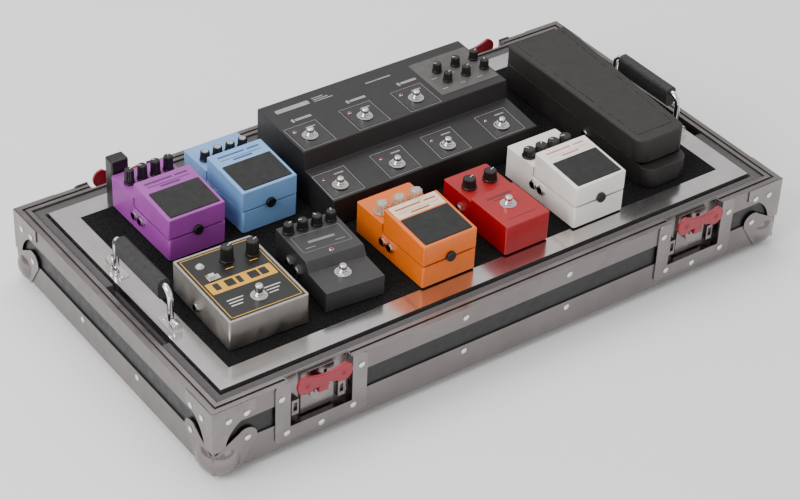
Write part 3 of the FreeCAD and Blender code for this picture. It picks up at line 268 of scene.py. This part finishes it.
def handle_metal(grip_low, grip_high):
    """Chrome bar, and black rubber between the grip's two ends."""
    m = Builder("handle_bar_and_grip")
    y = m.axis("Y")
    inside = m.math("MULTIPLY", m.math("GREATER_THAN", y, grip_low), m.math("LESS_THAN", y, grip_high))
    rubber = m.blend(m.ramp(m.noise(240.0), 0.0, 1.0), (0.014, 0.013, 0.013), (0.034, 0.032, 0.031))
    m.link(m.blend(inside, (0.80, 0.80, 0.80), rubber), m.shader.inputs["Base Color"])
    m.link(m.ramp(inside, 0.12, 0.62, 0.0, 1.0), m.shader.inputs["Roughness"])
    m.link(m.ramp(inside, 1.0, 0.0, 0.0, 1.0), m.shader.inputs["Metallic"])
    grain = m.math("MULTIPLY", m.noise(1300.0, detail=2.0), inside)
    m.link(m.bump(grain, 0.5, 0.0002), m.shader.inputs["Normal"])
    return m.material


def clear_plastic():
    m = Builder("smoky_clear_plastic")
    m.link(m.blend(m.ramp(m.noise(90.0), 0.0, 1.0), (0.80, 0.62, 0.46), (0.95, 0.82, 0.68)),
           m.shader.inputs["Base Color"])
    m.link(m.ramp(m.noise(200.0), 0.06, 0.16), m.shader.inputs["Roughness"])
    m.set(Transmission_Weight=0.65, IOR=1.46)
    return m.material


def glow(name, colour):
    m = Builder(name)
    shade = m.ramp(m.noise(900.0), 0.0, 1.0)
    m.link(m.blend(shade, tint(colour, 0.8), colour), m.shader.inputs["Base Color"])
    m.set(Roughness=0.12, Coat_Weight=1.0)
    return m.material


CASE_METAL = metal("drawn_aluminium", (0.225, 0.205, 0.20), 0.34, (0.03, 0.03, 1.0), 900.0, 0.00004, 0.08)
PLATED = metal("plated_steel", (0.255, 0.235, 0.23), 0.25, grain=420.0, mottling=0.16)
BALL = metal("ball_nickel", (0.24, 0.215, 0.21), 0.15, grain=300.0, depth=0.00002, mottling=0.12)
CHROME = metal("bright_chrome", (0.80, 0.79, 0.78), 0.09, grain=200.0, depth=0.00001, mottling=0.04)
CAST = metal("cast_aluminium", (0.44, 0.415, 0.385), 0.42, grain=650.0, depth=0.00010, mottling=0.16)
STEEL = metal("plain_steel", (0.25, 0.25, 0.25), 0.45)
BLACK = plastic("black_plastic", (0.008, 0.008, 0.008), 0.36)
RUBBER = plastic("black_rubber", (0.0095, 0.0095, 0.009), 0.68, 1500.0, 0.00012)
WHITE_INK = plastic("white_ink", (0.62, 0.61, 0.58), 0.5)
CREAM = plastic("cream_panel", (0.80, 0.66, 0.48), 0.42)
LATCH_RED = paint("latch_red", (0.300, 0.001, 0.016), 0.38, 0.25, 0.06)
PAINTS = {
    "purple": paint("purple_paint", (0.330, 0.050, 0.350), 0.42),
    "blue": paint("light_blue_paint", (0.200, 0.400, 0.720), 0.40),
    "orange": paint("orange_paint", (0.800, 0.150, 0.003), 0.40),
    "white": paint("white_paint", (0.880, 0.850, 0.790), 0.42),
    "red": paint("red_paint", (0.360, 0.002, 0.006), 0.36, 0.2, 0.15),
    "grey": paint("dark_grey_paint", (0.027, 0.025, 0.026), 0.45, 0.08, 0.3, 700.0, 0.00010),
    "multi": paint("charcoal_paint", (0.0135, 0.0115, 0.0115), 0.50, 0.03, 0.3, 800.0, 0.00012),
    "wah": paint("wah_paint", (0.0165, 0.0135, 0.0125), 0.55, 0.0, 0.4, 750.0, 0.00016),
}

grip_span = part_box("handle_left")
GRIP_INSET = (15.6 + 11.0 + 2.0) * MM
HANDLE = handle_metal(grip_span[0][1] + GRIP_INSET - 0.0002, grip_span[1][1] - GRIP_INSET + 0.0002)

FINISHES = {
    "case_panels": laminate(), "rim_rails": CASE_METAL, "base_angles": CASE_METAL,
    "corner_braces": PLATED, "ball_corners": BALL, "latch_dishes": PLATED, "case_rivets": CHROME,
    "foam_lining": foam(), "tray_board": plastic("stained_plywood", (0.03, 0.025, 0.022), 0.7),
    "tray_border": border_metal(), "loop_carpet": carpet(), "handle_brackets": CHROME,
    "handle_left": HANDLE, "handle_right": HANDLE, "power_adapter": BLACK,
    "jack_and_switch_nuts": CHROME, "thumb_screws": BLACK, "base_plates": STEEL,
    "circuit_boards": plastic("circuit_board", (0.01, 0.11, 0.045), 0.4), "echo_housing": CAST,
    "black_knobs": BLACK, "blue_knobs": BLACK,
}


def finish_for(name):
    if name in FINISHES:
        return FINISHES[name]
    family = name.split("_")[0]
    if "hub" in name:
        return PLATED
    if "footswitch" in name:
        return CHROME
    if "wing" in name:
        return LATCH_RED
    if "knob" in name:
        return BLACK
    return PAINTS[family]


ROUNDED = ("housing", "treadle", "rim_rails", "base_angles", "corner_braces", "latch_dishes", "wing",
           "power_adapter", "tray_border", "handle_brackets", "foam_lining")


def soften(thing, width, angle=35.0, segments=2):
    """Weld the mesh's seams and round its sharp edges a little."""
    weld = thing.modifiers.new("weld", "WELD")
    weld.merge_threshold = 0.000004
    bevel = thing.modifiers.new("edge", "BEVEL")
    bevel.width = width
    bevel.segments = segments
    bevel.limit_method = "ANGLE"
    bevel.angle_limit = math.radians(angle)
    bevel.harden_normals = True


for node_name, thing in NODES.items():
    thing.data.materials.clear()
    thing.data.materials.append(finish_for(node_name))
    if any(word in node_name for word in ROUNDED):
        soften(thing, 0.0005)


# ---- Mesh helpers

def piece(name, mesh, material, body):
    thing = bpy.data.objects.new(name, mesh)
    bpy.context.scene.collection.objects.link(thing)
    for one in material if isinstance(material, (list, tuple)) else (material,):
        mesh.materials.append(one)
    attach(thing, body)
    return thing


def rounded(x0, y0, x1, y1, radius, steps=6):
    """Outline of a rectangle with round corners, anticlockwise."""
    points = []
    for cx, cy, start in ((x1 - radius, y1 - radius, 0), (x0 + radius, y1 - radius, 90),
                          (x0 + radius, y0 + radius, 180), (x1 - radius, y0 + radius, 270)):
        for k in range(steps + 1):
            angle = math.radians(start + 90 * k / steps)
            points.append((cx + radius * math.cos(angle), cy + radius * math.sin(angle)))
    return points


def add_slab(bm, outline, low, high, place, index=0, soft=0.0):
    """A flat plate of an outline between two heights, its top edge eased inwards by soft."""
    centre = (sum(p[0] for p in outline) / len(outline), sum(p[1] for p in outline) / len(outline))
    rings = [(low, 0.0), (high - soft, 0.0)] if soft else [(low, 0.0)]
    rings.append((high, soft))
    levels = []
    for height, inset in rings:
        ring = []
        for u, v in outline:
            du, dv = centre[0] - u, centre[1] - v
            reach = max(1e-9, math.hypot(du, dv))
            ring.append(bm.verts.new(place(u + du / reach * inset, v + dv / reach * inset, height)))
        levels.append(ring)
    count = len(outline)
    faces = [bm.faces.new(levels[-1]), bm.faces.new(levels[0][::-1])]
    for lower, upper in zip(levels, levels[1:]):
        for k in range(count):
            faces.append(bm.faces.new((lower[k], lower[(k + 1) % count], upper[(k + 1) % count], upper[k])))
    for face in faces:
        face.material_index = index


def add_mark(bm, sides, radius, low, high, place, index=0, soft=0.0, steps=6):
    """A rounded plate whose sides (x0, y0, x1, y1) and corner radius are in millimetres."""
    outline = rounded(*[side * MM for side in sides], radius * MM, steps)
    add_slab(bm, outline, low, high, place, index, soft)


def add_lathe(bm, centre, profile, index=0, flutes=0, depth=0.0, steps=48):
    """Turned shape from (radius, height) pairs about an upright axis, fluted if asked."""
    rings = []
    for radius, height in profile:
        ring = []
        for k in range(steps):
            angle = 2 * math.pi * k / steps
            wave = 1 - depth * (0.5 + 0.5 * math.cos(flutes * angle)) if flutes else 1.0
            ring.append(bm.verts.new(centre + Vector((radius * wave * math.cos(angle),
                                                      radius * wave * math.sin(angle), height))))
        rings.append(ring)
    faces = [bm.faces.new(rings[-1]), bm.faces.new(rings[0][::-1])]
    for lower, upper in zip(rings, rings[1:]):
        for k in range(steps):
            faces.append(bm.faces.new((lower[k], lower[(k + 1) % steps], upper[(k + 1) % steps], upper[k])))
    for face in faces:
        face.material_index = index


def to_mesh(bm, name):
    mesh = bpy.data.meshes.new(name)
    bmesh.ops.recalc_face_normals(bm, faces=bm.faces)
    bm.to_mesh(mesh)
    bm.free()
    return mesh


def islands(name):
    """The box of each separate solid in a CAD node, in order from left to right."""
    bm = bmesh.new()
    bm.from_mesh(NODES[name].data)
    bmesh.ops.remove_doubles(bm, verts=bm.verts, dist=0.000002)
    bm.verts.ensure_lookup_table()
    seen = set()
    found = []
    for start in bm.verts:
        if start.index in seen:
            continue
        stack = [start]
        seen.add(start.index)
        points = []
        while stack:
            vert = stack.pop()
            points.append(vert.co.copy())
            for edge in vert.link_edges:
                other = edge.other_vert(vert)
                if other.index not in seen:
                    seen.add(other.index)
                    stack.append(other)
        low = Vector(min(p[i] for p in points) for i in range(3))
        high = Vector(max(p[i] for p in points) for i in range(3))
        found.append((low, high))
    bm.free()
    return sorted(found, key=lambda b: (round(b[0].x, 4), round(b[0].y, 4)))


def flat_place(x, y, z):
    """Heights above z, and u, v from (x, y), with no tilt."""
    return lambda u, v, w: Vector((x + u, y + v, z + w))


def tread_place(body):
    """u, v from a compact pedal's front left corner, and w above its treadle's sloping top."""
    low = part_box(body)[0]
    slope = (TREAD_BACK - TREAD_FRONT) / TREAD_LENGTH
    return lambda u, v, w: Vector((low[0] + u, low[1] + v, DECK + TREAD_FRONT + slope * v + w))


def turned_place(name, size, top):
    """u, v from the front left corner of a pedal that stands askew, and w above its top."""
    low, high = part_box(name + "_housing")
    angle = math.radians(TURNED[name])
    c, s = math.cos(angle), math.sin(angle)
    x0 = low[0] if s < 0 else low[0] + size[1] * abs(s)
    y0 = low[1] - size[0] * s if s < 0 else low[1]
    return lambda u, v, w: Vector((x0 + u * c - v * s, y0 + u * s + v * c, DECK + top + w))


# ---- Compact pedals: rubber treads, name panels and generic marks

def compact_top(colour, panel, ink):
    body = colour + "_treadle"
    place = tread_place(body)
    bm = bmesh.new()
    add_mark(bm, (4.55, 3.55, 68.45, 50.95), 1.0, -0.0003, 0.0012, place, 0, 0.0004)
    piece(colour + "_tread_rubber", to_mesh(bm, colour + "_tread_rubber"), RUBBER, body)

    bm = bmesh.new()
    if panel:
        add_mark(bm, (4.5, 53.6, 68.5, 75.6), 1.0, -0.0001, 0.0003, place, 0, 0.0001)
    for u0, v0, u1, v1 in ((9, 67, 44, 69.2), (48, 67, 64, 69.2), (9, 61.5, 64, 62.1), (24, 56.8, 49, 59.2)):
        add_mark(bm, (u0, v0, u1, v1), 0.25, 0.0001, 0.00036, place, 1, steps=2)
    piece(colour + "_panel", to_mesh(bm, colour + "_panel"), [panel or ink, ink], body)


INK = {name: paint(name + "_ink", colour, 0.5, 0.0, 0.1) for name, colour in (
    ("purple", (0.10, 0.015, 0.12)), ("blue", (0.045, 0.09, 0.20)), ("orange", (0.40, 0.075, 0.02)),
    ("white", (0.50, 0.20, 0.14)))}
WHITE_PANEL = plastic("warm_white_panel", (0.86, 0.78, 0.72), 0.4)
PANELS = {"purple": None, "blue": None, "orange": CREAM, "white": WHITE_PANEL}
for colour, panel in PANELS.items():
    compact_top(colour, panel, INK[colour])


# ---- Knobs: fluted caps over the plain CAD ones, each with a pointer line

def add_knob(bm, centre, radius, top, turn, flutes, capped):
    skirt = [(radius * 0.97, 0.0), (radius, 0.0004), (radius, 0.0018), (radius * 0.95, 0.0023)]
    add_lathe(bm, centre, skirt, 0)
    grip = radius * 0.88
    side = [(grip, 0.0015), (grip, 0.003), (grip * 0.95, top - 0.0012),
            (grip * 0.86, top - 0.0003), (grip * 0.80, top)]
    add_lathe(bm, centre, side, 0, flutes, 0.11, 96)
    if capped:
        disc = [(grip * 0.66, top - 0.0006), (grip * 0.66, top + 0.00005),
                (grip * 0.60, top + 0.0003), (grip * 0.2, top + 0.0004)]
        add_lathe(bm, centre, disc, 1, steps=36)
    c, s = math.cos(turn), math.sin(turn)
    reach = grip * 0.84

    def place(u, v, w):
        return centre + Vector((u * c - v * s, u * s + v * c, w))
    line = 0.00045
    add_slab(bm, rounded(-line, grip * (0.62 if capped else 0.12), line, reach, line * 0.9, 2), top - 0.0006,
             top + 0.00022, place, 2)


def knob_set(node, body, cap, base=BLACK, flutes=16, capped=False):
    """One piece for all the knobs of a CAD node, each where its CAD knob stands."""
    bm = bmesh.new()
    for k, (low, high) in enumerate(islands(node)):
        radius = (high.x - low.x) / 2
        foot = low.z + SPINDLE
        centre = Vector(((low.x + high.x) / 2, (low.y + high.y) / 2, foot))
        turn = math.radians(-70 + 47 * ((k * 3) % 4))
        add_knob(bm, centre, radius, high.z - foot - 0.0003, turn, flutes, capped)
    made = piece(node + "_caps", to_mesh(bm, node + "_caps"), [base, cap, WHITE_INK], body)
    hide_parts(node)


CLEAR = clear_plastic()
knob_set("black_knobs", "tray", CHROME)
knob_set("blue_knobs", "tray", CHROME, capped=True)
for k in (1, 2):
    knob_set("echo_knob_%d" % k, "echo_knob_%d" % k, CHROME, flutes=20)
    knob_set("red_knob_%d" % k, "red_knob_%d" % k, CHROME, flutes=20)
for k in (1, 2, 3):
    knob_set("orange_knob_%d" % k, "orange_knob_%d" % k, CHROME, CLEAR, flutes=12, capped=True)


# ---- Echo pedal: a framed plate with a bright band, a slide switch and a lamp

def echo_face():
    place = turned_place("echo", ECHO_SIZE, ECHO_PLATE)
    black = plastic("echo_plate_black", (0.006, 0.006, 0.0055), 0.36)
    gold = paint("echo_plate_gold", (0.72, 0.36, 0.02), 0.4, 0.2, 0.1)
    pale = plastic("echo_plate_pale", (0.60, 0.58, 0.52), 0.4)
    bm = bmesh.new()
    add_mark(bm, (3.3, 3.3, 95.2, 121.7), 0.8, 0.0, 0.00035, place, 0)
    frame_low, frame_high, edge = 0.0003, 0.00055, 0.9 * MM
    x0, y0, x1, y1 = 5.6 * MM, 5.6 * MM, 92.9 * MM, 119.4 * MM
    for box in ((x0, y0, x1, y0 + edge), (x0, y1 - edge, x1, y1),
                (x0, y0, x0 + edge, y1), (x1 - edge, y0, x1, y1)):
        add_slab(bm, rounded(*box, 0.2 * MM, 2), frame_low, frame_high, place, 1)
    add_mark(bm, (9, 50, 89.5, 70), 1.5, frame_low, frame_high, place, 1)
    for k, wide in enumerate((7, 11, 6, 12, 9)):
        u = (16 + 14.2 * k) * MM
        add_slab(bm, rounded(u, 55 * MM, u + wide * MM, 67 * MM, 1.2 * MM), frame_high - 0.00005,
                 frame_high + 0.00015, place, 0)
    for k in range(3):
        v = 33 - 5 * k
        for left, end in ((62, 82 - 4 * k), (16, 36 - 3 * k)):
            add_mark(bm, (left, v, end, v + 1.6), 0.4, frame_low, frame_high, place, 2, steps=2)
    for u in (17.5, 43.0, 73.0):
        add_mark(bm, (u, 83, u + 10, 84.2), 0.3, frame_low, frame_high, place, 1, steps=2)
    piece("echo_face_plate", to_mesh(bm, "echo_face_plate"), [black, gold, pale], "tray")
    lamp("echo_lamp", place(21.0 * MM, 101.0 * MM, 0.0003), 3.8 * MM, (0.72, 0.72, 0.70))
    bm = bmesh.new()
    add_mark(bm, (17, 73, 32, 81), 0.6, 0.0003, 0.0012, place, 0, 0.0003)
    add_mark(bm, (18.4, 74.2, 25.5, 79.8), 0.4, 0.001, 0.0055, place, 1, 0.0003)
    piece("echo_slide_switch", to_mesh(bm, "echo_slide_switch"), [CHROME, WHITE_INK], "tray")


def lamp(name, centre, radius, colour):
    """A lens in a thin bright bezel."""
    bm = bmesh.new()
    bezel = [(radius * 1.35, 0), (radius * 1.35, 0.0006), (radius * 1.2, 0.001), (radius, 0.001)]
    add_lathe(bm, centre, bezel, 1)
    dome = [(radius * math.cos(math.radians(a)), 0.0008 + radius * 0.9 * math.sin(math.radians(a)))
            for a in (0, 18, 36, 54, 70, 82)]
    add_lathe(bm, centre, dome, 0, steps=32)
    return piece(name, to_mesh(bm, name), [glow(name + "_lens", colour), CHROME], "tray")


echo_face()


# ---- Grey and red pedals

def grey_face():
    place = turned_place("grey", GREY_SIZE, GREY_TOP)
    bm = bmesh.new()
    edge = 0.5 * MM
    for box in ((6, 62, 67, 62.5), (6, 94, 67, 94.5), (6, 62, 6.5, 94.5), (66.5, 62, 67, 94.5)):
        add_slab(bm, rounded(*[b * MM for b in box], edge / 4, 2), -0.0001, 0.0002, place, 0)
    for u0, v0, u1, v1 in ((20, 76, 53, 80), (12, 68, 24, 69.2), (49, 68, 61, 69.2)):
        add_mark(bm, (u0, v0, u1, v1), 0.3, -0.0001, 0.0002, place, 0, steps=2)
    ink = plastic("soft_grey_ink", (0.20, 0.195, 0.19), 0.5)
    piece("grey_marks", to_mesh(bm, "grey_marks"), ink, "tray")
    lamp("grey_lamp", place(36.5 * MM, 55.0 * MM, -0.0001), 2.2 * MM, (0.35, 0.015, 0.01))


def red_face():
    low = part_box("red_housing")[0]
    place = flat_place(low[0], low[1], DECK + RED_TOP)
    rear = flat_place(low[0], low[1], DECK + RED_REAR_TOP)
    bm = bmesh.new()
    ink = paint("red_ink", (0.16, 0.006, 0.012), 0.45, 0.1, 0.1)
    for u0, v0, u1, v1 in ((14, 54, 48, 57.5), (20, 49, 42, 50.5), (12, 12, 50, 12.8)):
        add_mark(bm, (u0, v0, u1, v1), 0.3, -0.0001, 0.0002, place, 0, steps=2)
    for u in (12, 42):
        add_mark(bm, (u, 78, u + 8, 79.2), 0.3, -0.0001, 0.0002, rear, 0, steps=2)
    piece("red_marks", to_mesh(bm, "red_marks"), ink, "tray")
    lamp("red_lamp", rear(31.0 * MM, 104.0 * MM, -0.0001), 2.2 * MM, (0.45, 0.02, 0.015))


grey_face()
red_face()


# ---- Multi-effect unit: outlined switch fields, marks, lamps and a lighter knob panel

def multi_place(upper):
    low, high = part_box("multi_housing")
    length = high[1] - low[1]
    front, back = (MULTI_HEIGHTS[2], MULTI_HEIGHTS[3]) if upper else (MULTI_HEIGHTS[0], MULTI_HEIGHTS[1])
    start, end = (MULTI_STEP, length) if upper else (0.0, MULTI_STEP)
    slope = (back - front) / (end - start)
    return lambda u, v, w: Vector((low[0] + u, low[1] + v, DECK + front + slope * (v - start) + w))


def add_outline(bm, x0, y0, x1, y1, place, index, line=0.45):
    """A thin line round a field, as four strips."""
    for box in ((x0, y0, x1, y0 + line), (x0, y1 - line, x1, y1), (x0, y0 + line, x0 + line, y1 - line),
                (x1 - line, y0 + line, x1, y1 - line)):
        add_slab(bm, [(box[0] * MM, box[1] * MM), (box[2] * MM, box[1] * MM), (box[2] * MM, box[3] * MM),
                      (box[0] * MM, box[3] * MM)], -0.0001, 0.00018, place, index)


def multi_face():
    bm = bmesh.new()
    lower, upper = multi_place(False), multi_place(True)
    panel = plastic("knob_panel_grey", (0.085, 0.078, 0.076), 0.42)
    line = plastic("panel_line_grey", (0.30, 0.29, 0.285), 0.5)
    field = plastic("switch_field_black", (0.022, 0.020, 0.020), 0.42)
    for sx in LOW_SWITCHES:
        add_mark(bm, (sx - 19, 4.5, sx + 21, 45), 1.5, -0.0001, 0.00022, lower, 2, 0.0001)
        add_outline(bm, sx - 21, 3, sx + 23, 47, lower, 1)
        add_mark(bm, (sx + 4, 38, sx + 17, 40), 0.3, 0.0, 0.0003, lower, 1, steps=2)
    for sx in HIGH_SWITCHES:
        add_mark(bm, (sx - 19, 67, sx + 21, 108), 1.5, -0.0001, 0.00022, upper, 2, 0.0001)
        add_outline(bm, sx - 21, 65.5, sx + 23, 110, upper, 1)
        add_mark(bm, (sx + 4, 100, sx + 17, 102), 0.3, 0.0, 0.0003, upper, 1, steps=2)
        add_mark(bm, (sx + 2, 118, sx + 24, 122), 0.8, -0.0001, 0.0003, upper, 1)
        add_mark(bm, (sx - 3, 117, sx + 0.5, 123), 0.8, -0.0001, 0.0003, upper, 1)
    add_mark(bm, (206, 75, 291, 146), 2, -0.0001, 0.0003, upper, 0, 0.0001)
    add_outline(bm, 208.5, 77.5, 288.5, 143.5, upper, 1)
    for k in range(6):
        u = 214 + 26.0 * (k // 2)
        v = 84.5 + 23 * (k % 2)
        add_mark(bm, (u, v, u + 8, v + 1.2), 0.2, 0.0002, 0.00045, upper, 1, steps=2)
    add_mark(bm, (14, 140, 60, 147), 1.5, -0.0001, 0.0003, upper, 1)
    for k in range(3):
        add_mark(bm, (66, 139.5 + 3.4 * k, 92 - 5 * k, 141 + 3.4 * k), 0.4,
                 -0.0001, 0.0003, upper, 1, steps=2)
    add_mark(bm, (140, 140, 176, 142), 0.5, -0.0001, 0.0003, upper, 1)
    piece("multi_face", to_mesh(bm, "multi_face"), [panel, line, field], "tray")
    for k, sx in enumerate(LOW_SWITCHES, 1):
        lamp("multi_lamp_low_%d" % k, lower((sx - 12) * MM, 36 * MM, 0.0002), 1.7 * MM, (0.30, 0.015, 0.01))
    for k, sx in enumerate(HIGH_SWITCHES, 1):
        lamp("multi_lamp_high_%d" % k, upper((sx - 12) * MM, 100 * MM, 0.0002), 1.7 * MM, (0.30, 0.015, 0.01))


multi_face()


# ---- Floor, light and camera

floor_material = Builder("studio_floor")
floor_material.link(floor_material.blend(floor_material.ramp(floor_material.noise(3.0), 0.0, 1.0),
                                         (0.95, 0.95, 0.95), (0.97, 0.97, 0.97)),
                    floor_material.shader.inputs["Base Color"])
floor_material.set(Roughness=0.9)
floor_mesh = bpy.data.meshes.new("studio_floor")
floor_bm = bmesh.new()
bmesh.ops.create_grid(floor_bm, x_segments=8, y_segments=8, size=6.0)
floor_bm.to_mesh(floor_mesh)
floor_bm.free()
floor_mesh.materials.append(floor_material.material)
floor = bpy.data.objects.new("studio_floor", floor_mesh)
bpy.context.scene.collection.objects.link(floor)

world = bpy.data.worlds.new("studio")
world.use_nodes = True
world.node_tree.nodes["Background"].inputs["Color"].default_value = (1.0, 1.0, 1.0, 1.0)
world.node_tree.nodes["Background"].inputs["Strength"].default_value = 0.82
bpy.context.scene.world = world


def softbox(name, place, size, power):
    """An area light that faces the middle of the object."""
    data = bpy.data.lights.new(name, "AREA")
    data.shape = "RECTANGLE"
    data.size, data.size_y = size
    data.energy = power
    light = bpy.data.objects.new(name, data)
    light.location = place
    aim = Vector((0.0, 0.0, 0.08)) - Vector(place)
    light.rotation_euler = aim.to_track_quat("-Z", "Y").to_euler()
    bpy.context.scene.collection.objects.link(light)


softbox("left_key", (-2.2, -0.2, 1.9), (1.6, 1.6), 54.0)
softbox("top_fill", (0.3, 0.9, 2.4), (2.0, 1.2), 27.0)
softbox("front_fill", (0.6, -2.4, 1.0), (1.6, 0.8), 3.0)

# The camera looks down on the front left corner from about three metres
YAW, PITCH, ROLL = math.radians(37.169), math.radians(36.428), math.radians(2.767)
EYE = Vector((-1.2808, -1.6825, 1.5727))
forward = Vector((math.sin(YAW) * math.cos(PITCH), math.cos(YAW) * math.cos(PITCH), -math.sin(PITCH)))
level = Vector((math.cos(YAW), -math.sin(YAW), 0.0))
upward = level.cross(forward)
right = level * math.cos(ROLL) + upward * math.sin(ROLL)
above = upward * math.cos(ROLL) - level * math.sin(ROLL)
lens = bpy.data.cameras.new("camera")
lens.sensor_width = 36.0
lens.lens = 99.09
lens.clip_start = 0.05
camera = bpy.data.objects.new("camera", lens)
bpy.context.scene.collection.objects.link(camera)
camera.matrix_world = Matrix.Translation(EYE) @ Matrix((right, above, -forward)).transposed().to_4x4()
bpy.context.scene.camera = camera
